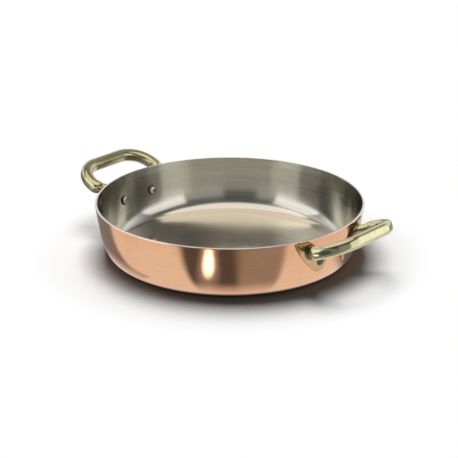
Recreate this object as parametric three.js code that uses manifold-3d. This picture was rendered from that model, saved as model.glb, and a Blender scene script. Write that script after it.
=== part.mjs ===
// A copper braising pan: a spun copper body with a thin bonded steel lining, and two cast brass
// loop handles, each held by one rivet through each of its two feet.
// Millimetres, +Z up, origin on the table under the middle of the base. The handles lie along X.

import * as THREE from "three";
import { mergeVertices } from "three/addons/utils/BufferGeometryUtils.js";
import Module from "manifold-3d";

const wasm = await Module();
wasm.setup();

const { degToRad } = THREE.MathUtils;

// Pan body
const RIM_RADIUS = 140; // outside of the copper at the rim
const PAN_HEIGHT = 58;
const WALL_FLARE = degToRad(9.5); // lean of the wall from upright
const CORNER_RADIUS = 19.5; // outside, between the wall and the base
const COPPER_THICKNESS = 1.8;
const LINING_THICKNESS = 0.5;
const BOND_GAP = 0.1; // between the copper and the lining

// Handle loop, drawn in a plane that rises from the wall
const LOOP_DEPTH = 12; // below the rim, where the loop's plane meets the wall
const LOOP_RISE = degToRad(22); // tilt of the plane above level
const LOOP_REACH = 43.6; // from the wall to the middle of the grip
const GRIP_STRAIGHT = 40; // straight stretch of the grip between its bends
const BEND_RADIUS = 27; // of the bar's centreline
const ARM_SPLAY = degToRad(8); // lean of each arm away from the loop's middle
const BAR_WIDTH = 12.6; // in the loop's plane
const BAR_HEIGHT = 13.2; // across the loop's plane
const BAR_SQUARENESS = 2.3; // 2 is an ellipse, more is nearer to a rectangle
const FLARE_WIDTH = 4.5; // how far the arm swells out at its root
const FLARE_LENGTH = 13;
const FLARE_SINK = 1.5; // how deep the swelling's thin end lies inside the bar

// Handle feet, drawn as seen along the handle's axis: along is from the rivet to the arm's root
const FOOT_THICKNESS = 2.6;
const FOOT_TOP_DEPTH = 1.6; // below the rim
const FOOT_SEAT = 0.3; // gap between the foot and the copper
const FOOT_AIM_INSET = 3.7; // from the arm's root, towards the loop's middle, to the foot's own line
const FOOT_END = 11; // past the rivet, at the foot's lower end
const FOOT_TAIL = 24; // past the arm's root, before the rim cuts the foot off
const FOOT_INNER = 4.5; // from the rivet to the edge on the side of the loop
const FOOT_OUTER = 11.5; // from the rivet to the edge on the other side
const FOOT_INNER_SWELL = 4; // how much further out the inner edge is at the arm's root
const FOOT_TAIL_WIDTH = 4.5;
const FOOT_END_BEVEL = 4.5; // taken off the outer corner of the lower end

// Rivets
const RIVET_SPACING = 44.4; // between the two rivets of a handle
const RIVET_DEPTH = 26; // below the rim
const SHANK_RADIUS = 2.8;
const SHANK_CLEARANCE = 0.15; // all round, in the holes
const HEAD_SEAT = 0.3; // gap under each head
const INNER_HEAD_RADIUS = 5.2;
const INNER_HEAD_HEIGHT = 2.8;
const OUTER_HEAD_RADIUS = 4.4;
const OUTER_HEAD_HEIGHT = 1.3;

// Faceting
const PAN_SEGMENTS = 80;
const CORNER_STEPS = 3;
const BAR_SIDES = 12;
const LOOP_STEPS = 36;
const FOOT_CURVE_STEPS = 5;
const FLARE_STEPS = 2;
const RIVET_SEGMENTS = 20;
const DOME_STEPS = 2;
const CUT_OVERRUN = 12; // how far a cutter, or stock to be cut, runs past the faces that it meets

const UP = new THREE.Vector3(0, 1, 0); // axis of a lathed or cylindrical geometry

function solid(geometry) {
  const bare = geometry.clone();
  bare.deleteAttribute("normal");
  bare.deleteAttribute("uv");
  const merged = mergeVertices(bare);
  const vertProperties = new Float32Array(merged.getAttribute("position").array);
  const triVerts = new Uint32Array(merged.getIndex().array);
  return new wasm.Manifold(new wasm.Mesh({ numProp: 3, vertProperties, triVerts }));
}

function geometryOf(body) {
  const { vertProperties, triVerts } = body.getMesh();
  const geometry = new THREE.BufferGeometry();
  geometry.setAttribute("position", new THREE.BufferAttribute(vertProperties, 3));
  geometry.setIndex(new THREE.BufferAttribute(triVerts, 1));
  geometry.computeVertexNormals();
  return geometry;
}

function metal(color, roughness) {
  return new THREE.MeshStandardMaterial({ color, roughness, metalness: 1 });
}

// The pan's wall. An inset is measured inwards from the outside of the copper, square to it,
// and a negative one lies outside the pan.

const cornerTangentHeight = CORNER_RADIUS * (1 - Math.sin(WALL_FLARE));
const cornerCentreRadius =
  wallRadius(PAN_HEIGHT - cornerTangentHeight) - CORNER_RADIUS * Math.cos(WALL_FLARE);

function wallRadius(depth, inset = 0) {
  return RIM_RADIUS - inset / Math.cos(WALL_FLARE) - depth * Math.tan(WALL_FLARE);
}

// From the middle of the base out to the wall, and up to a depth below the rim
function wallProfile(inset, topDepth = 0) {
  const outline = new THREE.Path();
  outline.moveTo(0, inset);
  outline.lineTo(cornerCentreRadius, inset);
  outline.absarc(
    cornerCentreRadius, CORNER_RADIUS, CORNER_RADIUS - inset, -Math.PI / 2, -WALL_FLARE, false,
  );
  outline.lineTo(wallRadius(topDepth, inset), PAN_HEIGHT - topDepth);
  return outline.getPoints(CORNER_STEPS);
}

function turnedOnZ(profile) {
  return new THREE.LatheGeometry(profile, PAN_SEGMENTS).rotateX(Math.PI / 2);
}

function panShell(outerInset, innerInset) {
  return turnedOnZ([...wallProfile(outerInset), ...wallProfile(innerInset).reverse()]);
}

// The whole space inside the wall at an inset, as a solid
function panCore(inset, topDepth) {
  const profile = wallProfile(inset, topDepth);
  profile.push(new THREE.Vector2(0, PAN_HEIGHT - topDepth));
  return turnedOnZ(profile);
}

// Rivets. A rivet's own Y axis points outwards, square to the wall, and starts on the copper.

const liningFace = COPPER_THICKNESS + BOND_GAP + LINING_THICKNESS;
const footFace = FOOT_SEAT + FOOT_THICKNESS;

function rivetPlace(side) {
  const radius = wallRadius(RIVET_DEPTH);
  const angle = Math.asin((side * RIVET_SPACING) / 2 / radius);
  const outward = new THREE.Vector3(
    Math.cos(WALL_FLARE) * Math.cos(angle),
    Math.cos(WALL_FLARE) * Math.sin(angle),
    -Math.sin(WALL_FLARE),
  );
  return {
    position: new THREE.Vector3(
      radius * Math.cos(angle),
      radius * Math.sin(angle),
      PAN_HEIGHT - RIVET_DEPTH,
    ),
    quaternion: new THREE.Quaternion().setFromUnitVectors(UP, outward),
  };
}

function rivetGeometry() {
  const inner = -liningFace - HEAD_SEAT;
  const outer = footFace + HEAD_SEAT;
  const outline = new THREE.Path();
  outline.moveTo(0, inner - INNER_HEAD_HEIGHT);
  outline.absellipse(
    0, inner, INNER_HEAD_RADIUS, INNER_HEAD_HEIGHT, -Math.PI / 2, 0, false, 0,
  );
  outline.lineTo(SHANK_RADIUS, inner);
  outline.lineTo(SHANK_RADIUS, outer);
  outline.lineTo(OUTER_HEAD_RADIUS, outer);
  outline.absellipse(0, outer, OUTER_HEAD_RADIUS, OUTER_HEAD_HEIGHT, 0, Math.PI / 2, false, 0);
  return new THREE.LatheGeometry(outline.getPoints(DOME_STEPS), RIVET_SEGMENTS);
}

function rivetHole(side) {
  const radius = SHANK_RADIUS + SHANK_CLEARANCE;
  const length = 2 * (liningFace + footFace + CUT_OVERRUN);
  const { position, quaternion } = rivetPlace(side);
  return new THREE.CylinderGeometry(radius, radius, length, RIVET_SEGMENTS)
    .applyQuaternion(quaternion)
    .translate(...position.toArray());
}

// Handles, built on +X. Side 1 is the arm, foot and rivet towards +Y, and side -1 the other.

const bendCentre = new THREE.Vector2(GRIP_STRAIGHT / 2, LOOP_REACH - BEND_RADIUS);
const armTop = new THREE.Vector2(
  bendCentre.x + BEND_RADIUS * Math.cos(ARM_SPLAY),
  bendCentre.y - BEND_RADIUS * Math.sin(ARM_SPLAY),
);
const armRootAcross = armAcross(0);

// Half the spacing of the arms, at a height above the wall in the loop's plane
function armAcross(height) {
  return armTop.x - (armTop.y - height) * Math.tan(ARM_SPLAY);
}

// From the loop's plane, across and away from the wall, to the pan's frame
function loopFrame() {
  const across = new THREE.Vector3(0, 1, 0);
  const away = new THREE.Vector3(Math.cos(LOOP_RISE), 0, Math.sin(LOOP_RISE));
  const frame = new THREE.Matrix4().makeBasis(across, away, across.clone().cross(away));
  return frame.setPosition(wallRadius(LOOP_DEPTH), 0, PAN_HEIGHT - LOOP_DEPTH);
}

function barSection() {
  const points = [];
  const power = 2 / BAR_SQUARENESS;
  for (let i = 0; i < BAR_SIDES; i++) {
    const angle = (2 * Math.PI * (i + 0.5)) / BAR_SIDES;
    const [c, s] = [Math.cos(angle), Math.sin(angle)];
    const x = (BAR_HEIGHT / 2) * Math.sign(c) * Math.abs(c) ** power;
    const y = (BAR_WIDTH / 2) * Math.sign(s) * Math.abs(s) ** power;
    points.push(new THREE.Vector2(x, y));
  }
  return new THREE.Shape(points);
}

function loopBar() {
  const centreline = new THREE.Path();
  centreline.moveTo(armAcross(-CUT_OVERRUN), -CUT_OVERRUN);
  centreline.lineTo(armTop.x, armTop.y);
  centreline.absarc(bendCentre.x, bendCentre.y, BEND_RADIUS, -ARM_SPLAY, Math.PI / 2, false);
  centreline.lineTo(-bendCentre.x, LOOP_REACH);
  centreline.absarc(
    -bendCentre.x, bendCentre.y, BEND_RADIUS, Math.PI / 2, Math.PI + ARM_SPLAY, false,
  );
  centreline.lineTo(-armAcross(-CUT_OVERRUN), -CUT_OVERRUN);
  const spine = new THREE.CatmullRomCurve3(
    centreline.getSpacedPoints(2 * LOOP_STEPS).map((p) => new THREE.Vector3(p.x, p.y, 0)),
  );
  const bar = new THREE.ExtrudeGeometry(barSection(), { steps: LOOP_STEPS, extrudePath: spine });
  return bar.applyMatrix4(loopFrame());
}

// The trumpet-shaped swelling where an arm comes out of its foot
function armFlare(side) {
  const barRadius = Math.min(BAR_WIDTH, BAR_HEIGHT) / 2;
  const wide = barRadius + FLARE_WIDTH;
  const thin = barRadius - FLARE_SINK;
  const outline = new THREE.Path();
  outline.moveTo(0, -CUT_OVERRUN);
  outline.lineTo(wide, -CUT_OVERRUN);
  outline.lineTo(wide, 0);
  outline.absellipse(
    wide, FLARE_LENGTH, wide - thin, FLARE_LENGTH, -Math.PI / 2, -Math.PI, true, 0,
  );
  outline.lineTo(0, FLARE_LENGTH);
  return new THREE.LatheGeometry(outline.getPoints(FLARE_STEPS), BAR_SIDES)
    .rotateZ(-side * ARM_SPLAY)
    .translate(side * armRootAcross, 0, 0)
    .applyMatrix4(loopFrame());
}

// The foot's outline as seen from outside, along the handle's axis, with Z up
function footOutline(side) {
  const rivet = new THREE.Vector2(RIVET_SPACING / 2, PAN_HEIGHT - RIVET_DEPTH);
  const root = new THREE.Vector2(armRootAcross - FOOT_AIM_INSET, PAN_HEIGHT - LOOP_DEPTH);
  const along = root.clone().sub(rivet).normalize();
  const out = new THREE.Vector2(along.y, -along.x);
  const rootAlong = root.distanceTo(rivet);
  const at = (a, o) => {
    const point = rivet.clone().addScaledVector(along, a).addScaledVector(out, o);
    return [side * point.x, point.y];
  };
  const innerTop = -FOOT_INNER - FOOT_INNER_SWELL;
  const outline = new THREE.Shape();
  outline.moveTo(...at(-FOOT_INNER, -FOOT_INNER));
  outline.lineTo(...at(rootAlong, innerTop));
  outline.lineTo(...at(rootAlong + FOOT_TAIL, innerTop));
  outline.lineTo(...at(rootAlong + FOOT_TAIL, innerTop + FOOT_TAIL_WIDTH));
  outline.quadraticCurveTo(
    ...at(rootAlong, FOOT_OUTER),
    ...at(-FOOT_END + FOOT_END_BEVEL, FOOT_OUTER),
  );
  outline.lineTo(...at(-FOOT_END, FOOT_OUTER - FOOT_END_BEVEL));
  outline.quadraticCurveTo(...at(-FOOT_END, -FOOT_INNER), ...at(-FOOT_INNER, -FOOT_INNER));
  return outline;
}

// Stock with the foot's outline, running from inside the wall to outside it
function footStock(side) {
  const start = RIM_RADIUS / 2; // well inside the wall
  const depth = RIM_RADIUS + footFace + CUT_OVERRUN - start;
  const facing = new THREE.Matrix4().makeBasis(
    new THREE.Vector3(0, 1, 0),
    new THREE.Vector3(0, 0, 1),
    new THREE.Vector3(1, 0, 0),
  );
  return new THREE.ExtrudeGeometry(footOutline(side), {
    depth,
    bevelEnabled: false,
    curveSegments: FOOT_CURVE_STEPS,
  })
    .applyMatrix4(facing)
    .translate(start, 0, 0);
}

function handleGeometry() {
  const footSpace = solid(panCore(-footFace, FOOT_TOP_DEPTH));
  let body = solid(loopBar());
  for (const side of [-1, 1]) {
    const stock = solid(footStock(side));
    body = body.add(stock.intersect(footSpace)).add(stock.intersect(solid(armFlare(side))));
  }
  body = body.subtract(solid(panCore(-FOOT_SEAT, -CUT_OVERRUN)));
  for (const side of [-1, 1]) {
    body = body.subtract(solid(rivetHole(side)));
  }
  return geometryOf(body);
}

// Assembly

const handles = [
  { name: "right", turn: 0, rivets: { front: -1, rear: 1 } },
  { name: "left", turn: Math.PI, rivets: { front: 1, rear: -1 } },
];

function drilled(geometry) {
  let body = solid(geometry);
  for (const { turn } of handles) {
    for (const side of [-1, 1]) {
      body = body.subtract(solid(rivetHole(side).rotateZ(turn)));
    }
  }
  return geometryOf(body);
}

function named(name, geometry, material) {
  const mesh = new THREE.Mesh(geometry, material);
  mesh.name = name;
  return mesh;
}

const pan = new THREE.Group();
pan.add(named("copper_body", drilled(panShell(0, COPPER_THICKNESS)), metal(0xd39a74, 0.16)));
pan.add(
  named(
    "steel_lining",
    drilled(panShell(COPPER_THICKNESS + BOND_GAP, liningFace)),
    metal(0xb9b5a8, 0.32),
  ),
);

const handleShape = handleGeometry();
for (const { name, turn, rivets } of handles) {
  const group = new THREE.Group();
  group.rotation.z = turn;
  group.add(named(`handle_${name}`, handleShape.clone(), metal(0xc9c085, 0.22)));
  for (const [end, side] of Object.entries(rivets)) {
    const rivet = named(`rivet_${name}_${end}`, rivetGeometry(), metal(0xb4b0a6, 0.25));
    const { position, quaternion } = rivetPlace(side);
    rivet.position.copy(position);
    rivet.quaternion.copy(quaternion);
    group.add(rivet);
  }
  pan.add(group);
}

export default pan;
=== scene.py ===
"""A copper braising pan with a steel lining and two cast brass loop handles, on a pale studio floor."""

import math

import bpy
import numpy as np
from mathutils import Matrix, Vector


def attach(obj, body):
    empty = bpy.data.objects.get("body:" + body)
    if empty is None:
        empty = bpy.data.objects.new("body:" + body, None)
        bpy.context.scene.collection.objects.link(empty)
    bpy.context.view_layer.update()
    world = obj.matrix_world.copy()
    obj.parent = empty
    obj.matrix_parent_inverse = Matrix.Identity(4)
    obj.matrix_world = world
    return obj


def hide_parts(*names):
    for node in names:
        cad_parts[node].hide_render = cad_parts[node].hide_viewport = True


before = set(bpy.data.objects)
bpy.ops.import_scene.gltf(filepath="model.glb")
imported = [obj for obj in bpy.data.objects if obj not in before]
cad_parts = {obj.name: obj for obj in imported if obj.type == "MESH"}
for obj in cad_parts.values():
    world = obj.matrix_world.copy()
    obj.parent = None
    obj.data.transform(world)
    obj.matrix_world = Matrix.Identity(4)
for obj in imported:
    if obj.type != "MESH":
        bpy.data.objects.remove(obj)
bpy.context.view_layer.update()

MM = 0.001
BODY = "root"

# Pan body, in millimetres
RIM_RADIUS = 140.0
PAN_HEIGHT = 58.0
WALL_FLARE = math.radians(8.7)  # lean of the wall from upright
CORNER_HEIGHT = 44.0  # where the rounded corner runs into the straight wall
BASE_RADIUS = 113.5
CORNER_FULLNESS = 1.5  # 1 is a parabola, more is fuller
COPPER_THICKNESS = 1.8
LINING_THICKNESS = 0.5
BOND_GAP = 0.1
LINING_FACE = COPPER_THICKNESS + BOND_GAP + LINING_THICKNESS
COPPER_RIM_ROUND = 0.85
LINING_RIM_ROUND = 0.2
CUT_EDGE_AND_HIGHLIGHT_DEPTHS = (1.0, 0.5)  # below the rim, where the copper's paler cut edge, partly a painted highlight, starts and is full
POLISHED_HEIGHT = 4.0  # the pan's floor is polished, and painted paler, up to here
WALL_LIT_HEIGHTS = (34.0, 16.0)  # going down the wall, where its paler colour starts and is full: painted light that brightens its reflections
PAST_RIM = 2.0  # how far the wall's curve is drawn past the rim
PAN_SEGMENTS = 288
BASE_POINTS = 20
CORNER_POINTS = 49
WALL_POINTS = 12
RIM_STEPS = 8
RIM_SPACING = 2.0
RIM_HOLD = 0.2  # from a corner to the point that holds it
ON_AXIS = 1e-6

# Handle loop, in millimetres, drawn in a plane that rises from the wall
LOOP_DEPTH = 12.0  # below the rim, where the loop's plane meets the wall
LOOP_RISE = math.radians(22)  # tilt of the plane above level
LOOP_REACH = 43.05  # from the wall to the middle of the grip
GRIP_STRAIGHT = 40.0
BEND_RADIUS = 27.0
ARM_SPLAY = math.radians(8)  # each arm leans away from the loop's middle as it leaves the wall
ARM_START = 13.0  # from the wall
BAR_WIDTH = 12.4
BAR_HEIGHT = 12.8
BAR_ROUND = 4.7
NECK_ACROSS = 34.0  # where a neck ends on the wall, from the loop's middle
NECK_DEPTH = 12.5  # where it ends, below the rim
NECK_TOP_RADIUS = 4.6
NECK_RADIUS = 6.0
NECK_BLEND = 4.0
ARM_BLEND = 4.0

# Handle feet, in millimetres, drawn as seen along the handle's axis
FOOT_THICKNESS = 2.6
FOOT_TIP_THICKNESS = 0.7
FOOT_TOP_DEPTH = 1.6
FOOT_SEAT = 0.1
FOOT_AIM_INSET = 3.7  # from the arm's root, towards the loop's middle, to the foot's own line
FOOT_END = 11.0  # past the rivet, at the foot's lower end
FOOT_TAIL = 24.0  # past the arm's root, before the foot is cut off below the rim
FOOT_INNER = 4.5  # from the rivet to the edge on the side of the loop
FOOT_OUTER = 11.5  # from the rivet to the edge on the other side
FOOT_INNER_SWELL = 4.0  # how much further off the inner edge is at the arm's root
FOOT_TAIL_WIDTH = 4.5
FOOT_END_BEVEL = 4.5
FOOT_EDGE_ROUND = 1.1
FOOT_CURVE_STEPS = 10
CREVICE_REACH = 5.0

# Net that is laid over a handle, in millimetres, and how it settles on the surface
NET_LOW = np.array((108.0, -62.0, 12.0))
NET_HIGH = np.array((190.0, 62.0, 72.0))
NET_STEP = 0.8
SETTLE_ROUNDS = 6
SETTLE_STEPS = 2
LEAST_STEEPNESS = 0.05
SLOPE_REACH = 0.02

# Rivets, in millimetres
RIVET_SPACING = 44.4
RIVET_DEPTH = 26.0
SHANK_RADIUS = 2.8
INNER_HEAD_RADIUS = 5.2
INNER_HEAD_HEIGHT = 2.8
OUTER_HEAD_RADIUS = 4.4
OUTER_HEAD_HEIGHT = 1.3
HEAD_EDGE_INSET = 0.105  # the soft lower edge of a head
HEAD_EDGE_LIFT = 0.14
HEAD_FULLNESS = 0.85  # 1 is half an ellipse, less is fuller
HEAD_STEPS = 9
RIVET_SEGMENTS = 48
# Painted shade round the inner heads' rim; the outer heads are dark all over.
INNER_SHADE_START = 0.68  # share of the head's radius
INNER_SHADE_FADE = 0.2
OUTER_DARKNESS = 0.92

# Colours
WHITE = (1, 1, 1, 1)
COPPER_DEEP = (0.78, 0.42, 0.235, 1)
COPPER_PALE = (0.83, 0.48, 0.29, 1)
COPPER_LINE = (0.62, 0.34, 0.20, 1)
# Rim colour: the cut edge's own colour and partly a painted highlight
COPPER_CUT_AND_HIGHLIGHT = (0.86, 0.74, 0.66, 1)
STEEL_DEEP = (0.51, 0.495, 0.43, 1)
STEEL_PALE = (0.59, 0.575, 0.505, 1)
STEEL_STREAK = (0.43, 0.415, 0.355, 1)
# Paler steel low on the wall: painted light
STEEL_PAINTED_LIT = (0.71, 0.685, 0.60, 1)
# The pan's floor, painted paler and warmer than the wall: painted light
PAN_FLOOR_LIT_DEEP = (0.80, 0.735, 0.645, 1)
PAN_FLOOR_LIT_PALE = (0.87, 0.805, 0.71, 1)
BRASS_DEEP = (0.54, 0.50, 0.29, 1)
BRASS_PALE = (0.62, 0.585, 0.365, 1)
BRASS_FOOT = (0.57, 0.375, 0.19, 1)
# Crevice colour: dirt and painted shade
BRASS_DIRT_AND_SHADE = (0.12, 0.09, 0.04, 1)
RIVET_DEEP = (0.50, 0.48, 0.43, 1)
RIVET_PALE = (0.66, 0.64, 0.58, 1)
RIVET_SHADE_AND_DARK = (0.05, 0.045, 0.035, 1)
STAGE_FLOOR = (0.92, 0.915, 0.905, 1)
LAMP_WHITE = (1, 1, 1)
LAMP_WARM = (1.0, 0.94, 0.87)

# Finish, as shares of the relief of the waves
LINE_RELIEF = 0.04
PIT_RELIEF = 0.06

# Camera, in millimetres
CAMERA_TURN = math.radians(-49.6)
CAMERA_RISE = math.radians(20.8)
CAMERA_DISTANCE = 1700.0
TARGET_HEIGHT = 28.85
AIM_RIGHT = -0.84
AIM_UP = -3.45
LENS = 127.73
SENSOR = 36.0

TO_CAMERA = Vector((math.cos(CAMERA_TURN), math.sin(CAMERA_TURN), 0))
TO_RIGHT = Vector((-TO_CAMERA.y, TO_CAMERA.x, 0))


# Meshes

def add_mesh(name, vertices, faces):
    """A smooth-shaded mesh object from millimetre coordinates."""
    mesh = bpy.data.meshes.new(name)
    mesh.from_pydata([tuple(v) for v in np.asarray(vertices, float) * MM], [], faces)
    mesh.validate()
    mesh.shade_smooth()
    obj = bpy.data.objects.new(name, mesh)
    bpy.context.collection.objects.link(obj)
    return obj


def rounded(corners, steps):
    """An open outline of (x, y, radius) corners, each rounded to its radius."""
    outline = []
    for i, (x, y, radius) in enumerate(corners):
        here = np.array((x, y))
        if radius == 0:
            outline.append(here)
            continue
        back = np.array(corners[i - 1][:2]) - here
        ahead = np.array(corners[i + 1][:2]) - here
        back /= np.linalg.norm(back)
        ahead /= np.linalg.norm(ahead)
        half = math.acos(np.clip(back @ ahead, -1, 1)) / 2
        middle = (back + ahead) / np.linalg.norm(back + ahead)
        centre = here + middle * radius / math.sin(half)
        start = here + back * radius / math.tan(half) - centre
        sweep = math.pi - 2 * half
        turn = np.sign(back[0] * ahead[1] - back[1] * ahead[0])
        for k in range(steps + 1):
            angle = -turn * sweep * k / steps
            c, s = math.cos(angle), math.sin(angle)
            spun = np.array((c * start[0] - s * start[1], s * start[0] + c * start[1]))
            outline.append(centre + spun)
    return outline


def with_support(outline, longest):
    """Splits the long straight stretches of an outline, with a point close to each of their ends."""
    points = [outline[0]]
    for a, b in zip(outline[:-1], outline[1:]):
        length = np.linalg.norm(b - a)
        if length > longest:
            count = math.ceil(length / longest)
            hold = RIM_HOLD / length
            shares = [hold, *(k / count for k in range(1, count)), 1 - hold]
            points += [a + (b - a) * share for share in shares]
        points.append(b)
    return points


def lathe(outline, segments):
    """Vertices and faces of an outline of (radius, height) turned about Z."""
    vertices, faces, rings = [], [], []
    for radius, height in outline:
        start = len(vertices)
        if radius < ON_AXIS:
            vertices.append((0, 0, height))
            rings.append([start] * segments)
            continue
        for k in range(segments):
            angle = 2 * math.pi * k / segments
            vertices.append((radius * math.cos(angle), radius * math.sin(angle), height))
        rings.append(list(range(start, start + segments)))
    for low, high in zip(rings[:-1], rings[1:]):
        for k in range(segments):
            after = (k + 1) % segments
            corners = (low[k], low[after], high[after], high[k])
            faces.append(tuple(dict.fromkeys(corners)))
    return vertices, faces


def wall_curve(inset=0.0):
    """Outline (radius, height) from the middle of the base to the rim, at an inset from the outside."""
    lean = math.tan(WALL_FLARE)
    top = np.array((RIM_RADIUS - (PAN_HEIGHT - CORNER_HEIGHT) * lean, CORNER_HEIGHT))
    pull = np.array((RIM_RADIUS - PAN_HEIGHT * lean, 0))
    foot = np.array((BASE_RADIUS, 0))
    t = np.linspace(0, 1, CORNER_POINTS)[:, None]
    shares = (1 - t) ** 2, 2 * CORNER_FULLNESS * t * (1 - t), t ** 2
    corner = (shares[0] * foot + shares[1] * pull + shares[2] * top) / sum(shares)
    end = np.array((RIM_RADIUS + PAST_RIM * lean, PAN_HEIGHT + PAST_RIM))
    base = np.linspace((0, 0), foot, BASE_POINTS)[:-1]
    wall = np.linspace(top, end, WALL_POINTS)[1:]
    outline = np.vstack((base, corner, wall))
    run = np.gradient(outline, axis=0)
    run /= np.linalg.norm(run, axis=1)[:, None]
    outline = outline + inset * np.stack((-run[:, 1], run[:, 0]), axis=1)
    outline[0, 0] = 0
    return outline


WALL = wall_curve()


def wall_radius(height, inset=0.0):
    """Radius of the wall at a height, at an inset measured square to it."""
    curve = wall_curve(inset) if inset else WALL
    return np.interp(height, curve[BASE_POINTS:, 1], curve[BASE_POINTS:, 0])


def below_rim(inset):
    """The wall's outline up to just below the rim."""
    curve = wall_curve(inset)
    return curve[curve[:, 1] < PAN_HEIGHT - 2 * COPPER_THICKNESS]


def pan_shell(name, outer, inner, rim_round):
    """A turned shell between two insets, closed over the rim."""
    up, down = below_rim(outer), below_rim(inner)[::-1]
    rim = rounded([
        (*up[-1], 0),
        (wall_radius(PAN_HEIGHT, outer), PAN_HEIGHT, rim_round),
        (wall_radius(PAN_HEIGHT, inner), PAN_HEIGHT, rim_round),
        (*down[0], 0),
    ], RIM_STEPS)
    outline = [*up[:-1], *with_support(rim, RIM_SPACING), *down[1:]]
    return add_mesh(name, *lathe(outline, PAN_SEGMENTS))


# Handles, on +X. The form is a distance field: a bar run round a loop, melted into two feet.

LOOP_ORIGIN = np.array((wall_radius(PAN_HEIGHT - LOOP_DEPTH), 0, PAN_HEIGHT - LOOP_DEPTH))
LOOP_AWAY = np.array((math.cos(LOOP_RISE), 0, math.sin(LOOP_RISE)))
LOOP_ACROSS = np.array((0, 1, 0))
LOOP_NORMAL = np.cross(LOOP_ACROSS, LOOP_AWAY)
BEND_CENTRE = np.array((GRIP_STRAIGHT / 2, LOOP_REACH - BEND_RADIUS))
ARM_TOP = BEND_CENTRE + BEND_RADIUS * np.array((math.cos(ARM_SPLAY), -math.sin(ARM_SPLAY)))


def arm_point(height):
    """A point on an arm's middle line, at a height above the wall in the loop's plane."""
    return np.array((ARM_TOP[0] - (ARM_TOP[1] - height) * math.tan(ARM_SPLAY), height))


def to_segment(points, a, b):
    """Distance from 2D points to the straight line between a and b."""
    along = np.clip((points - a) @ (b - a) / ((b - a) @ (b - a)), 0, 1)
    return np.linalg.norm(points - (a + along[:, None] * (b - a)), axis=1)


def rounded_box(x, y, half_x, half_y, radius):
    """Distance to a rounded rectangle, from the distances along its two axes."""
    qx = x - (half_x - radius)
    qy = y - (half_y - radius)
    outside = np.hypot(np.maximum(qx, 0), np.maximum(qy, 0))
    return outside + np.minimum(np.maximum(qx, qy), 0) - radius


def bar_distance(points):
    """Distance to the loop's bar."""
    local = points - LOOP_ORIGIN
    plane = np.stack((np.abs(local @ LOOP_ACROSS), local @ LOOP_AWAY), axis=1)
    turn = np.arctan2(plane[:, 1] - BEND_CENTRE[1], plane[:, 0] - BEND_CENTRE[0])
    turn = np.clip(turn, -ARM_SPLAY, math.pi / 2)
    bend = BEND_CENTRE + BEND_RADIUS * np.stack((np.cos(turn), np.sin(turn)), axis=1)
    from_middle = np.minimum.reduce((
        to_segment(plane, arm_point(ARM_START), ARM_TOP),
        np.linalg.norm(plane - bend, axis=1),
        to_segment(plane, np.array((BEND_CENTRE[0], LOOP_REACH)), np.array((0, LOOP_REACH))),
    ))
    return rounded_box(
        from_middle, np.abs(local @ LOOP_NORMAL),
        BAR_WIDTH / 2, BAR_HEIGHT / 2, BAR_ROUND,
    )


def neck_distance(points):
    """Distance to the necks, where the arms bend down into their feet."""
    mirrored = points * (1, 0, 1) + np.abs(points) * (0, 1, 0)
    across, away = arm_point(ARM_START)
    top = LOOP_ORIGIN + across * LOOP_ACROSS + away * LOOP_AWAY
    height = PAN_HEIGHT - NECK_DEPTH
    bottom = np.array((math.sqrt(wall_radius(height) ** 2 - NECK_ACROSS ** 2), NECK_ACROSS, height))
    share = np.clip((mirrored - top) @ (bottom - top) / ((bottom - top) @ (bottom - top)), 0, 1)
    middle = top + share[:, None] * (bottom - top)
    radius = NECK_TOP_RADIUS + share * (NECK_RADIUS - NECK_TOP_RADIUS)
    return np.linalg.norm(mirrored - middle, axis=1) - radius


def quadratic(a, b, c, steps):
    """Points on the curve from a to c that is pulled towards b, without its first point."""
    t = np.linspace(0, 1, steps + 1)[1:, None]
    return (1 - t) ** 2 * a + 2 * t * (1 - t) * b + t ** 2 * c


def foot_outline():
    """A foot as seen from outside, along the handle's axis: across and up."""
    rivet = np.array((RIVET_SPACING / 2, PAN_HEIGHT - RIVET_DEPTH))
    root = np.array((arm_point(0)[0] - FOOT_AIM_INSET, PAN_HEIGHT - LOOP_DEPTH))
    root_along = np.linalg.norm(root - rivet)
    along = (root - rivet) / root_along
    out = np.array((along[1], -along[0]))

    def at(a, o):
        return rivet + along * a + out * o

    inner_top = -FOOT_INNER - FOOT_INNER_SWELL
    start = at(-FOOT_INNER, -FOOT_INNER)
    tail = at(root_along + FOOT_TAIL, inner_top + FOOT_TAIL_WIDTH)
    bevel = at(-FOOT_END + FOOT_END_BEVEL, FOOT_OUTER)
    end = at(-FOOT_END, FOOT_OUTER - FOOT_END_BEVEL)
    return np.vstack((
        start, at(root_along, inner_top), at(root_along + FOOT_TAIL, inner_top), tail,
        quadratic(tail, at(root_along, FOOT_OUTER), bevel, FOOT_CURVE_STEPS),
        end,
        quadratic(end, at(-FOOT_END, -FOOT_INNER), start, FOOT_CURVE_STEPS)[:-1],
    ))


def to_polygon(points, corners):
    """Signed distance from 2D points to a closed polygon, negative inside."""
    nearest = np.full(len(points), np.inf)
    inside = np.zeros(len(points), bool)
    for a, b in zip(corners, np.roll(corners, -1, axis=0)):
        nearest = np.minimum(nearest, to_segment(points, a, b))
        spans = (a[1] > points[:, 1]) != (b[1] > points[:, 1])
        if a[1] != b[1]:
            crossing = a[0] + (points[:, 1] - a[1]) * (b[0] - a[0]) / (b[1] - a[1])
            inside ^= spans & (points[:, 0] < crossing)
    return np.where(inside, -nearest, nearest)


FOOT_CORNERS = foot_outline()


def off_wall(points):
    """How far points stand out from the copper, square to it."""
    radius = np.hypot(points[:, 0], points[:, 1])
    return (radius - wall_radius(points[:, 2])) * math.cos(WALL_FLARE)


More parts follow.
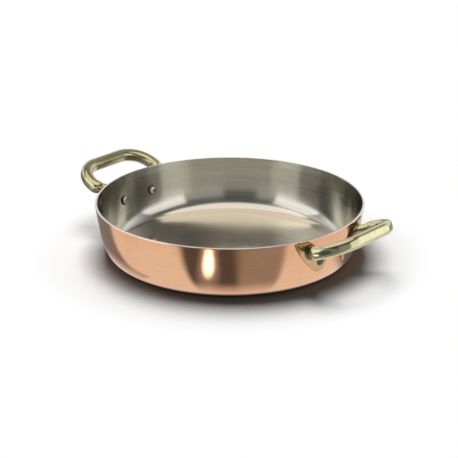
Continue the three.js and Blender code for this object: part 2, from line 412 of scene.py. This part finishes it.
def foot_distance(points):
    """Distance to the two feet."""
    front = np.stack((np.abs(points[:, 1]), points[:, 2]), axis=1)
    edge = np.maximum(
        to_polygon(front, FOOT_CORNERS), points[:, 2] - (PAN_HEIGHT - FOOT_TOP_DEPTH)
    )
    above_root = (points[:, 2] - PAN_HEIGHT + LOOP_DEPTH) / (LOOP_DEPTH - FOOT_TOP_DEPTH)
    thinner = (FOOT_THICKNESS - FOOT_TIP_THICKNESS) * np.clip(above_root, 0, 1)
    return rounded_box(
        edge, off_wall(points), 0, FOOT_SEAT + FOOT_THICKNESS - thinner, FOOT_EDGE_ROUND,
    )


def melted(a, b, reach):
    """The smaller of two distances, with a fillet where they meet."""
    near = np.maximum(reach - np.abs(a - b), 0) / reach
    return np.minimum(a, b) - near ** 2 * reach / 4


def handle_distance(points):
    """Distance to a whole handle."""
    arm = melted(bar_distance(points), neck_distance(points), NECK_BLEND)
    body = melted(arm, foot_distance(points), ARM_BLEND)
    return np.maximum(body, FOOT_SEAT - off_wall(points))


def slope(field, points):
    """Gradient of a field."""
    parts = []
    for axis in np.eye(3) * SLOPE_REACH:
        parts.append((field(points + axis) - field(points - axis)) / (2 * SLOPE_REACH))
    return np.stack(parts, axis=1)


def surface_net(field, low, high, step):
    """Quads round the zero level of a field, one vertex in each cell that the surface crosses."""
    counts = np.ceil((high - low) / step).astype(int) + 1
    axes = [low[k] + step * np.arange(counts[k]) for k in range(3)]
    grid = np.stack(np.meshgrid(*axes, indexing="ij"), axis=-1).reshape(-1, 3)
    inside = (field(grid) < 0).reshape(counts)
    filled = sum(
        inside[i:counts[0] - 1 + i, j:counts[1] - 1 + j, k:counts[2] - 1 + k].astype(int)
        for i in (0, 1) for j in (0, 1) for k in (0, 1)
    )
    crossed = (filled > 0) & (filled < 8)
    number = np.full(crossed.shape, -1)
    number[crossed] = np.arange(crossed.sum())
    vertices = low + step * (np.argwhere(crossed) + 0.5)
    faces = []
    for axis in range(3):
        side, other = (axis + 1) % 3, (axis + 2) % 3
        first = np.delete(inside, -1, axis)
        second = np.delete(inside, 0, axis)
        for start_inside in (True, False):
            edges = np.argwhere((first == start_inside) & (second != start_inside))
            corners = []
            for b, c in ((1, 1), (0, 1), (0, 0), (1, 0)):
                cell = edges.copy()
                cell[:, side] -= b
                cell[:, other] -= c
                corners.append(number[tuple(cell.T)])
            quads = np.stack(corners if start_inside else corners[::-1], axis=1)
            faces.append(quads)
    return vertices, np.vstack(faces)


def settle(vertices, faces, field):
    """Evens out a net and lays it on the zero level of its field."""
    starts = faces.reshape(-1)
    ends = np.roll(faces, -1, axis=1).reshape(-1)
    for _ in range(SETTLE_ROUNDS):
        total = np.zeros_like(vertices)
        count = np.zeros(len(vertices))
        for a, b in ((starts, ends), (ends, starts)):
            np.add.at(total, a, vertices[b])
            np.add.at(count, a, 1)
        vertices = total / count[:, None]
        for _ in range(SETTLE_STEPS):
            grade = slope(field, vertices)
            steep = np.maximum((grade ** 2).sum(axis=1), LEAST_STEEPNESS)
            vertices = vertices - grade * (field(vertices) / steep)[:, None]
    return vertices


def handle_form():
    """Vertices, faces and the crevice and foot shades of the handle on +X; the crevice one carries painted
    shade.
    """
    vertices, faces = surface_net(handle_distance, NET_LOW, NET_HIGH, NET_STEP)
    vertices = settle(vertices, faces, handle_distance)
    arm = np.minimum(bar_distance(vertices), neck_distance(vertices))
    foot = foot_distance(vertices)
    shades = {
        "crevice": np.clip(1 - np.abs(arm - foot) / CREVICE_REACH, 0, 1),
        "foot": np.clip((arm - foot) / CREVICE_REACH, 0, 1),
    }
    return vertices, faces, shades


def add_handle(name, form, turn):
    """One handle, turned about the pan's axis."""
    vertices, faces, shades = form
    c, s = math.cos(turn), math.sin(turn)
    spun = vertices @ np.array(((c, s, 0), (-s, c, 0), (0, 0, 1)))
    obj = add_mesh(name, spun, [tuple(face) for face in faces.tolist()])
    for shade, values in shades.items():
        layer = obj.data.attributes.new(shade, "FLOAT", "POINT")
        layer.data.foreach_set("value", values.astype(np.float32))
    return obj


# Rivets. A rivet's own Z axis points outwards, square to the wall, and starts on the copper.

def dome(radius, height, base, up):
    """A domed head's outline from its edge to its crown, with a soft lower edge."""
    points = [np.array((radius - HEAD_EDGE_INSET, base))]
    for k in range(HEAD_STEPS + 1):
        angle = math.pi / 2 * k / HEAD_STEPS
        lift = HEAD_EDGE_LIFT + (height - HEAD_EDGE_LIFT) * math.sin(angle)
        points.append(np.array((radius * math.cos(angle) ** HEAD_FULLNESS, base + up * lift)))
    points[-1][0] = 0
    return points


def add_rivet(name, side, turn):
    """One rivet, through a foot, the copper and the lining."""
    inner = dome(INNER_HEAD_RADIUS, INNER_HEAD_HEIGHT, -LINING_FACE, -1)
    outer = dome(OUTER_HEAD_RADIUS, OUTER_HEAD_HEIGHT, FOOT_SEAT + FOOT_THICKNESS, 1)
    shank = [np.array((SHANK_RADIUS, -LINING_FACE)), np.array((SHANK_RADIUS, FOOT_THICKNESS))]
    vertices, faces = lathe([*reversed(inner), *shank, *outer], RIVET_SEGMENTS)
    obj = add_mesh(name, vertices, faces)
    x, y, z = np.array(vertices).T
    from_middle = np.hypot(x, y) / INNER_HEAD_RADIUS
    # The inner heads get painted shade round their rim, where they meet the lining; the outer heads are
    # dark all over.
    edge = np.clip((from_middle - INNER_SHADE_START) / INNER_SHADE_FADE, 0, 1)
    layer = obj.data.attributes.new("shade_and_dark", "FLOAT", "POINT")
    layer.data.foreach_set("value", np.where(z < 0, edge, OUTER_DARKNESS).astype(np.float32))
    radius = wall_radius(PAN_HEIGHT - RIVET_DEPTH)
    angle = math.asin(side * RIVET_SPACING / 2 / radius) + turn
    outward = Vector((
        math.cos(WALL_FLARE) * math.cos(angle),
        math.cos(WALL_FLARE) * math.sin(angle),
        -math.sin(WALL_FLARE),
    ))
    place = Vector((radius * math.cos(angle), radius * math.sin(angle), PAN_HEIGHT - RIVET_DEPTH))
    stand = outward.to_track_quat("Z", "Y").to_matrix().to_4x4()
    obj.data.transform(Matrix.Translation(place * MM) @ stand)
    return obj


# Materials

def feed(tree, socket, value):
    """Links a socket, or sets its value."""
    if isinstance(value, bpy.types.NodeSocket):
        tree.links.new(value, socket)
    else:
        socket.default_value = value


def node(tree, kind, inputs=(), **settings):
    """A node with its settings and inputs in place."""
    made = tree.nodes.new(kind)
    for key, value in settings.items():
        setattr(made, key, value)
    for key, value in dict(inputs).items():
        feed(tree, made.inputs[key], value)
    return made


def calc(tree, operation, *values):
    """A math node's result."""
    made = node(tree, "ShaderNodeMath", operation=operation)
    for socket, value in zip(made.inputs, values):
        feed(tree, socket, value)
    return made.outputs[0]


def ramp(tree, value, low, high, out_low=0.0, out_high=1.0):
    """A value's soft step from low to high."""
    made = node(
        tree, "ShaderNodeMapRange",
        {"Value": value, "From Min": low, "From Max": high, "To Min": out_low, "To Max": out_high},
        interpolation_type="SMOOTHSTEP",
    )
    return made.outputs["Result"]


def mixed(tree, share, a, b):
    """A colour between a and b."""
    made = node(tree, "ShaderNodeMix", data_type="RGBA")
    for name, value in (("Factor_Float", share), ("A_Color", a), ("B_Color", b)):
        socket = next(s for s in made.inputs if s.identifier == name)
        feed(tree, socket, value)
    return next(s for s in made.outputs if s.identifier == "Result_Color")


def noise(tree, vector, scale, detail):
    """A noise texture's value."""
    made = node(tree, "ShaderNodeTexNoise", {"Vector": vector, "Scale": scale, "Detail": detail})
    return made.outputs["Fac"]


def new_material(name):
    """An empty metal, with its node tree and shader."""
    material = bpy.data.materials.new(name)
    material.use_nodes = True
    tree = material.node_tree
    shader = tree.nodes["Principled BSDF"]
    shader.inputs["Metallic"].default_value = 1.0
    return material, tree, shader


def place_of(tree):
    """Coordinates in metres in the pan's frame."""
    return node(tree, "ShaderNodeTexCoord").outputs["Object"]


def turned_lines(tree, place, around, along):
    """Coordinates that run round the pan, drawn out into lines: around is per turn, along per metre."""
    parts = node(tree, "ShaderNodeSeparateXYZ", {"Vector": place}).outputs
    squares = [calc(tree, "MULTIPLY", part, part) for part in parts[:2]]
    radius = calc(tree, "SQRT", calc(tree, "ADD", *squares))
    radius = calc(tree, "MAXIMUM", radius, MM)
    drawn = node(tree, "ShaderNodeCombineXYZ", {
        "X": calc(tree, "MULTIPLY", calc(tree, "DIVIDE", parts[0], radius), around),
        "Y": calc(tree, "MULTIPLY", calc(tree, "DIVIDE", parts[1], radius), around),
        "Z": calc(tree, "MULTIPLY", calc(tree, "ADD", radius, parts[2]), along),
    })
    return drawn.outputs[0]


def bumped(tree, shader, height, distance):
    """Relief from a height value, in metres."""
    relief = node(tree, "ShaderNodeBump", {"Height": height, "Distance": distance})
    tree.links.new(relief.outputs["Normal"], shader.inputs["Normal"])


def copper_material():
    """Polished copper with fine turning lines, slight mottling and a paler rim that is partly a painted
    highlight.
    """
    material, tree, shader = new_material("polished_copper")
    place = place_of(tree)
    lines = noise(tree, turned_lines(tree, place, around=2.0, along=900.0), scale=1.0, detail=4.0)
    patches = noise(tree, place, scale=22.0, detail=4.0)
    waves = noise(tree, place, scale=45.0, detail=1.0)
    colour = mixed(tree, ramp(tree, patches, 0.35, 0.65), COPPER_DEEP, COPPER_PALE)
    colour = mixed(tree, ramp(tree, lines, 0.45, 0.8, 0.0, 0.25), colour, COPPER_LINE)
    height = node(tree, "ShaderNodeSeparateXYZ", {"Vector": place}).outputs["Z"]
    # The rim is painted paler: partly the cut edge's own colour, partly a painted highlight along it.
    cut_edge_and_highlight = ramp(tree, height, *((PAN_HEIGHT - depth) * MM for depth in CUT_EDGE_AND_HIGHLIGHT_DEPTHS))
    colour = mixed(tree, cut_edge_and_highlight, colour, COPPER_CUT_AND_HIGHLIGHT)
    tree.links.new(colour, shader.inputs["Base Color"])
    tree.links.new(ramp(tree, lines, 0.3, 0.75, 0.10, 0.17), shader.inputs["Roughness"])
    relief = calc(tree, "ADD", calc(tree, "MULTIPLY", lines, LINE_RELIEF), waves)
    bumped(tree, shader, relief, distance=0.00006)
    return material


def lining_material():
    """Satin steel, brushed round the wall, and painted paler towards the pan's floor to brighten its
    reflections there.
    """
    material, tree, shader = new_material("brushed_lining")
    place = place_of(tree)
    fine = noise(tree, turned_lines(tree, place, around=3.0, along=1500.0), scale=1.0, detail=3.0)
    broad = noise(tree, turned_lines(tree, place, around=1.2, along=240.0), scale=1.0, detail=3.0)
    colour = mixed(tree, ramp(tree, fine, 0.3, 0.7), STEEL_DEEP, STEEL_PALE)
    colour = mixed(tree, ramp(tree, broad, 0.45, 0.7, 0.0, 0.5), colour, STEEL_STREAK)
    height = node(tree, "ShaderNodeSeparateXYZ", {"Vector": place}).outputs["Z"]
    # Painted light: the lower wall is paler, which brightens the bands it mirrors.
    painted_lit = ramp(tree, height, *(edge * MM for edge in WALL_LIT_HEIGHTS))
    colour = mixed(tree, painted_lit, colour, STEEL_PAINTED_LIT)
    tree.links.new(colour, shader.inputs["Base Color"])
    tree.links.new(ramp(tree, fine, 0.3, 0.7, 0.13, 0.19), shader.inputs["Roughness"])
    shader.inputs["Anisotropic"].default_value = 0.8
    shader.inputs["Anisotropic Rotation"].default_value = 0.25
    grain = node(tree, "ShaderNodeTangent", direction_type="RADIAL", axis="Z")
    tree.links.new(grain.outputs[0], shader.inputs["Tangent"])
    bumped(tree, shader, fine, distance=0.000004)
    return material


def pan_floor_material():
    """The same steel on the pan's floor, polished, with a trace of the turning lines, and painted paler and
    warmer than the wall to brighten what it mirrors.
    """
    material, tree, shader = new_material("polished_lining")
    place = place_of(tree)
    fine = noise(tree, turned_lines(tree, place, around=2.0, along=700.0), scale=1.0, detail=3.0)
    haze = noise(tree, place, scale=35.0, detail=3.0)
    # Painted light: the floor's steel is paler and warmer than the wall's, which brightens the patch of
    # light it mirrors.
    colour = mixed(tree, ramp(tree, fine, 0.3, 0.75), PAN_FLOOR_LIT_DEEP, PAN_FLOOR_LIT_PALE)
    tree.links.new(colour, shader.inputs["Base Color"])
    tree.links.new(ramp(tree, haze, 0.3, 0.7, 0.09, 0.13), shader.inputs["Roughness"])
    bumped(tree, shader, haze, distance=0.00008)
    return material


def brass_material():
    """Cast and polished pale brass, warmer on its feet, and dark in its crevices with dirt and painted
    shade.
    """
    material, tree, shader = new_material("cast_brass")
    place = place_of(tree)
    patches = noise(tree, place, scale=60.0, detail=4.0)
    pits = noise(tree, place, scale=900.0, detail=2.0)
    waves = noise(tree, place, scale=130.0, detail=1.0)
    crevice = node(tree, "ShaderNodeAttribute", attribute_name="crevice").outputs["Fac"]
    foot = node(tree, "ShaderNodeAttribute", attribute_name="foot").outputs["Fac"]
    colour = mixed(tree, ramp(tree, patches, 0.35, 0.65), BRASS_DEEP, BRASS_PALE)
    colour = mixed(tree, ramp(tree, foot, 0.0, 0.8, 0.0, 0.9), colour, BRASS_FOOT)
    # Dirt and painted shade where arm and foot meet, made patchy.
    dirt_and_shade = calc(tree, "MULTIPLY", ramp(tree, crevice, 0.1, 0.65, 0.0, 1.9), patches)
    colour = mixed(tree, dirt_and_shade, colour, BRASS_DIRT_AND_SHADE)
    tree.links.new(colour, shader.inputs["Base Color"])
    tree.links.new(ramp(tree, pits, 0.3, 0.75, 0.11, 0.20), shader.inputs["Roughness"])
    relief = calc(tree, "ADD", calc(tree, "MULTIPLY", pits, PIT_RELIEF), waves)
    bumped(tree, shader, relief, distance=0.00008)
    return material


def rivet_material():
    """Satin steel, scuffed by the hammer, with painted shade round the rim of each inner head, and the
    outer heads dark.
    """
    material, tree, shader = new_material("rivet_steel")
    place = place_of(tree)
    scuffs = noise(tree, place, scale=700.0, detail=4.0)
    dents = noise(tree, place, scale=260.0, detail=1.0)
    shade_and_dark = node(tree, "ShaderNodeAttribute", attribute_name="shade_and_dark").outputs["Fac"]
    colour = mixed(tree, ramp(tree, scuffs, 0.35, 0.65), RIVET_DEEP, RIVET_PALE)
    # Painted shade at the inner heads' rim, and the outer heads dark.
    colour = mixed(tree, shade_and_dark, colour, RIVET_SHADE_AND_DARK)
    tree.links.new(colour, shader.inputs["Base Color"])
    tree.links.new(ramp(tree, scuffs, 0.3, 0.75, 0.18, 0.32), shader.inputs["Roughness"])
    bumped(tree, shader, dents, distance=0.0002)
    return material


def fit_out(obj, node_name, material):
    """Puts a finished piece in its node's place."""
    obj.data.materials.append(material)
    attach(obj, BODY)
    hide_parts(node_name)


# The pan

copper = copper_material()
steel = lining_material()
floor_steel = pan_floor_material()
brass = brass_material()
rivet_steel = rivet_material()

pan_copper = pan_shell("pan_copper", 0.0, COPPER_THICKNESS, COPPER_RIM_ROUND)
fit_out(pan_copper, "copper_body", copper)
pan_lining = pan_shell("pan_lining", COPPER_THICKNESS + BOND_GAP, LINING_FACE, LINING_RIM_ROUND)
fit_out(pan_lining, "steel_lining", steel)
pan_lining.data.materials.append(floor_steel)
for face in pan_lining.data.polygons:
    if face.center.z < POLISHED_HEIGHT * MM:
        face.material_index = 1

loop_form = handle_form()
for hand, turn, rivets in (
    ("right", 0.0, {"front": -1, "rear": 1}),
    ("left", math.pi, {"front": 1, "rear": -1}),
):
    handle = add_handle(f"loop_{hand}", loop_form, turn)
    fit_out(handle, f"handle_{hand}", brass)
    for end, side in rivets.items():
        rivet = add_rivet(f"fastener_{hand}_{end}", side, turn)
        fit_out(rivet, f"rivet_{hand}_{end}", rivet_steel)


# Floor, light and camera

UP = Vector((0, 0, 1))

FLOOR_SIZE = 40000.0  # in millimetres

# Soft steps below are given as (from, to), or as (from, to, value before, value after).

# Where the floor turns white for the camera, in metres from the pan's middle
WHITE_STARTS = (0.15, 0.215)

# Floor as the metal mirrors it, with distances in metres from the pan's middle
FRONT_STRENGTH = 0.93
BACK_BEGINS = (0.06, -0.04)
# Behind the pan, the floor in the metal is dark close to the pan, a painted shadow of the pan, and dimmer
# far off.
BACK_NEAR = (0.14, 0.17, 0.3, 0.85)
BACK_FAR = (0.26, 0.32, 1.0, 0.45)
UNDER_PAN = (0.122, 0.127, 0.1, 1.0)

# Dark cards on the floor. An apex is (right, forward) in millimetres from the pan's middle. A card
# runs between two angles in degrees from the camera's direction, and its edges have a softness.
FRONT_APEX = (6, 95)
FRONT_CARD = (-51, 54, 4.0)
FRONT_CARD_STRENGTH = 0.36
DEEP_CARD = (-90, 5, 8.0)
DEEP_CARD_DROP = 0.25
LEFT_CARD_APEX = (-91, 104)
LEFT_CARD = (-172, -131, 3.0)
LEFT_CARD_STRENGTH = 0.25
CARDS_START = (0.122, 0.150)
RIGHT_SHADE_APEX = (30, 30)
RIGHT_SHADE = (75, 130, 10.0)
LEFT_SHADE_APEX = (-30, -30)
LEFT_SHADE = (-168, -95, 10.0)
SHADES_END = (0.185, 0.145)
SHADE_STRENGTH = 0.15

# Bright strip in front of the pan, in millimetres and degrees, its edges as shares of its size
STRIP_MIDDLE = (-38, 184)
STRIP_TURN = -15
STRIP_HALF_LENGTH = 28
STRIP_HALF_WIDTH = 9.5
STRIP_EDGE = (1.4, 0.3)
STRIP_STRENGTH = 4.2
STRIP_HAZE_EDGE = (2.6, 0.6)
STRIP_HAZE_STRENGTH = 0.35

# World, as even light and as a tent that the metal mirrors. A rise or a side is part of a ray of length 1.
FILL_STRENGTH = 0.04
TENT_RISE = (0.30, 0.42, 0.37, 0.12)
GAP_TURN = math.radians(-10)
GAP_EDGE = (math.radians(20), math.radians(12))
GAP_RISE = (0.06, 0.16)
GAP_STRENGTH = 0.09
LEFT_SIDE = (-0.42, -0.75)
LEFT_RISE = (0.52, 0.62)
LEFT_STRENGTH = 0.5
BACK_SIDE = (0.1, -0.5)
BACK_RISE = (0.85, 0.33)
BACK_STRENGTH = 1.0


def seen_in_metal(tree):
    """1 on rays that leave metal or glass, else 0, and 1 on rays that met no dull surface, else 0."""
    rays = node(tree, "ShaderNodeLightPath").outputs
    share = calc(tree, "MAXIMUM", rays["Is Glossy Ray"], rays["Is Transmission Ray"])
    direct = calc(tree, "LESS_THAN", rays["Diffuse Depth"], 0.5)
    return share, direct


def along(tree, vector, direction):
    """How far a vector runs in a direction."""
    made = node(tree, "ShaderNodeVectorMath", operation="DOT_PRODUCT")
    feed(tree, made.inputs[0], vector)
    feed(tree, made.inputs[1], tuple(direction))
    return made.outputs["Value"]


def stage_place(right, forward, up):
    """A place in metres as seen from the camera's side."""
    return TO_RIGHT * right + TO_CAMERA * forward + UP * up


def level(degrees):
    """The level direction at an angle from the camera's, positive to the right of the picture."""
    angle = math.radians(degrees)
    return TO_CAMERA * math.cos(angle) + TO_RIGHT * math.sin(angle)


def wedge(tree, place, apex, first, last, soft):
    """1 inside a wedge of the floor that opens from an apex (right, forward) between two angles."""
    middle = level((first + last) / 2)
    across = level((first + last) / 2 + 90)
    corner = (TO_RIGHT * apex[0] + TO_CAMERA * apex[1]) * MM
    ahead = calc(tree, "SUBTRACT", along(tree, place, middle), corner.dot(middle))
    aside = calc(tree, "SUBTRACT", along(tree, place, across), corner.dot(across))
    angle = calc(tree, "ABSOLUTE", calc(tree, "ARCTAN2", aside, ahead))
    half = (last - first) / 2
    return ramp(tree, angle, math.radians(half + soft), math.radians(half - soft))


def spot(tree, place, middle, turn, half_length, half_width):
    """Distance from the middle (right, forward) of an ellipse on the floor, 1 at its edge."""
    centre = (TO_RIGHT * middle[0] + TO_CAMERA * middle[1]) * MM
    parts = []
    for direction, half in ((level(turn), half_length), (level(turn + 90), half_width)):
        off = calc(tree, "SUBTRACT", along(tree, place, direction), centre.dot(direction))
        share = calc(tree, "DIVIDE", off, half * MM)
        parts.append(calc(tree, "MULTIPLY", share, share))
    return calc(tree, "SQRT", calc(tree, "ADD", *parts))


def between(tree, share, a, b):
    """A number between a and b."""
    return node(tree, "ShaderNodeMix", {0: share, 2: a, 3: b}).outputs[0]


def mirrored_strength(tree, place, radius):
    """How bright the floor is in the metal: white, with dark cards and a bright strip round the pan."""
    back = calc(tree, "MULTIPLY", ramp(tree, radius, *BACK_NEAR), ramp(tree, radius, *BACK_FAR))
    behind = ramp(tree, along(tree, place, TO_CAMERA), *BACK_BEGINS)
    strength = between(tree, behind, FRONT_STRENGTH, back)
    clear = ramp(tree, radius, *CARDS_START)
    front = wedge(tree, place, FRONT_APEX, *FRONT_CARD)
    deep = wedge(tree, place, FRONT_APEX, *DEEP_CARD)
    left = wedge(tree, place, LEFT_CARD_APEX, *LEFT_CARD)
    drop = calc(tree, "MULTIPLY", deep, DEEP_CARD_DROP)
    front_strength = calc(tree, "SUBTRACT", FRONT_CARD_STRENGTH, drop)
    for card, dark in ((front, front_strength), (left, LEFT_CARD_STRENGTH)):
        strength = between(tree, calc(tree, "MULTIPLY", card, clear), strength, dark)
    near = ramp(tree, radius, *SHADES_END)
    for apex, card in ((RIGHT_SHADE_APEX, RIGHT_SHADE), (LEFT_SHADE_APEX, LEFT_SHADE)):
        shade = calc(tree, "MULTIPLY", wedge(tree, place, apex, *card), near)
        strength = between(tree, shade, strength, SHADE_STRENGTH)
    strip = spot(tree, place, STRIP_MIDDLE, STRIP_TURN, STRIP_HALF_LENGTH, STRIP_HALF_WIDTH)
    for edge, glow in ((STRIP_EDGE, STRIP_STRENGTH), (STRIP_HAZE_EDGE, STRIP_HAZE_STRENGTH)):
        strength = calc(tree, "ADD", strength, calc(tree, "MULTIPLY", ramp(tree, strip, *edge), glow))
    return calc(tree, "MULTIPLY", strength, ramp(tree, radius, *UNDER_PAN))


def floor_material():
    """A pale floor that keeps the shadow and turns white further out, with its own look in the metal."""
    material = bpy.data.materials.new("floor")
    material.use_nodes = True
    material.cycles.emission_sampling = "NONE"
    tree = material.node_tree
    shader = tree.nodes["Principled BSDF"]
    shader.inputs["Base Color"].default_value = STAGE_FLOOR
    shader.inputs["Roughness"].default_value = 0.9
    shader.inputs["Specular IOR Level"].default_value = 0.0
    place = place_of(tree)
    radius = node(tree, "ShaderNodeVectorMath", {"Vector": place}, operation="LENGTH").outputs["Value"]
    in_metal, direct = seen_in_metal(tree)
    strength = calc(tree, "MULTIPLY", mirrored_strength(tree, place, radius), direct)
    shown = node(tree, "ShaderNodeEmission", {"Color": WHITE, "Strength": strength})
    distant = node(tree, "ShaderNodeEmission", {"Color": WHITE})
    seen = node(tree, "ShaderNodeLightPath").outputs["Is Camera Ray"]
    bare = node(tree, "ShaderNodeMixShader", {
        0: calc(tree, "MULTIPLY", seen, ramp(tree, radius, *WHITE_STARTS)),
        1: shader.outputs[0], 2: distant.outputs[0],
    })
    both = node(tree, "ShaderNodeMixShader", {
        0: in_metal, 1: bare.outputs[0], 2: shown.outputs[0],
    })
    tree.links.new(both.outputs[0], tree.nodes["Material Output"].inputs["Surface"])
    return material


half_floor = FLOOR_SIZE / 2
floor = add_mesh(
    "floor",
    [(-half_floor, -half_floor, 0), (half_floor, -half_floor, 0),
     (half_floor, half_floor, 0), (-half_floor, half_floor, 0)],
    [(0, 1, 2, 3)],
)
floor.data.materials.append(floor_material())


def add_panel(name, middle, across, up, size, strength, shape="RECTANGLE", colour=LAMP_WHITE):
    """A soft box that faces against across x up, in metres. A strength of 1 is white in a mirror."""
    light = bpy.data.lights.new(name, "AREA")
    light.shape = shape
    light.color = colour
    light.size, light.size_y = size
    area = size[0] * size[1] * (math.pi / 4 if shape == "ELLIPSE" else 1)
    light.energy = math.pi * area * strength
    lamp = bpy.data.objects.new(name, light)
    bpy.context.collection.objects.link(lamp)
    turn = Matrix((across, up, across.cross(up))).transposed()
    lamp.matrix_world = Matrix.Translation(middle) @ turn.to_4x4()
    lamp.visible_camera = False
    return lamp


# The first lamp lights the floor alone, and the others are only seen in the metal
floor_lamp = add_panel(
    "top_softbox", stage_place(right=-0.07, forward=-0.15, up=0.75), TO_RIGHT, -TO_CAMERA,
    size=(0.42, 0.62), strength=8.4,
)
floor_lamp.visible_glossy = False
for panel in (
    add_panel(
        "ceiling", stage_place(right=-0.09, forward=0.03, up=0.8), TO_RIGHT, -TO_CAMERA,
        size=(1.12, 1.27), strength=1.0, shape="ELLIPSE", colour=LAMP_WARM,
    ),
    add_panel(
        "left_side", stage_place(right=-0.60, forward=0.20, up=0.28), TO_CAMERA, UP,
        size=(0.68, 0.56), strength=0.92,
    ),
    add_panel(
        "right_side", stage_place(right=0.54, forward=0.195, up=0.23), -TO_CAMERA, UP,
        size=(0.61, 0.46), strength=0.86,
    ),
):
    panel.visible_diffuse = False


def build_world():
    """Weak even light, and in the metal a tent: white behind the pan, dim elsewhere, dark at the camera."""
    world = bpy.data.worlds.new("studio")
    bpy.context.scene.world = world
    world.use_nodes = True
    world.cycles.sampling_method = "NONE"
    tree = world.node_tree
    fill = tree.nodes["Background"]
    fill.inputs["Color"].default_value = WHITE
    fill.inputs["Strength"].default_value = FILL_STRENGTH
    ray = node(tree, "ShaderNodeTexCoord").outputs["Generated"]
    ahead = along(tree, ray, TO_CAMERA)
    aside = along(tree, ray, TO_RIGHT)
    rise = along(tree, ray, UP)
    strength = ramp(tree, rise, *TENT_RISE)
    off_gap = calc(tree, "SUBTRACT", calc(tree, "ARCTAN2", aside, ahead), GAP_TURN)
    off_gap = calc(tree, "ABSOLUTE", off_gap)
    gap = calc(tree, "MULTIPLY", ramp(tree, off_gap, *GAP_EDGE), ramp(tree, rise, *GAP_RISE))
    strength = between(tree, gap, strength, GAP_STRENGTH)
    left = calc(tree, "MULTIPLY", ramp(tree, aside, *LEFT_SIDE), ramp(tree, rise, *LEFT_RISE))
    strength = calc(tree, "ADD", strength, calc(tree, "MULTIPLY", left, LEFT_STRENGTH))
    back = calc(tree, "MULTIPLY", ramp(tree, ahead, *BACK_SIDE), ramp(tree, rise, *BACK_RISE))
    strength = between(tree, back, strength, BACK_STRENGTH)
    tent = node(tree, "ShaderNodeBackground", {"Color": WHITE, "Strength": strength})
    in_metal, direct = seen_in_metal(tree)
    seen = node(tree, "ShaderNodeLightPath").outputs["Is Camera Ray"]
    both = node(tree, "ShaderNodeMixShader", {
        0: calc(tree, "MAXIMUM", calc(tree, "MULTIPLY", in_metal, direct), seen),
        1: fill.outputs[0], 2: tent.outputs[0],
    })
    tree.links.new(both.outputs[0], tree.nodes["World Output"].inputs["Surface"])


build_world()

sight = TO_CAMERA * math.cos(CAMERA_RISE) + UP * math.sin(CAMERA_RISE)
target = UP * TARGET_HEIGHT
image_up = sight.cross(TO_RIGHT)
camera_place = target + sight * CAMERA_DISTANCE
aim = target + TO_RIGHT * AIM_RIGHT + image_up * AIM_UP
camera_data = bpy.data.cameras.new("camera")
camera_data.lens = LENS
camera_data.sensor_width = SENSOR
camera = bpy.data.objects.new("camera", camera_data)
bpy.context.collection.objects.link(camera)
camera.location = camera_place * MM
camera.rotation_euler = (aim - camera_place).to_track_quat("-Z", "Y").to_euler()
bpy.context.scene.camera = camera

bpy.context.scene.view_settings.view_transform = "Standard"
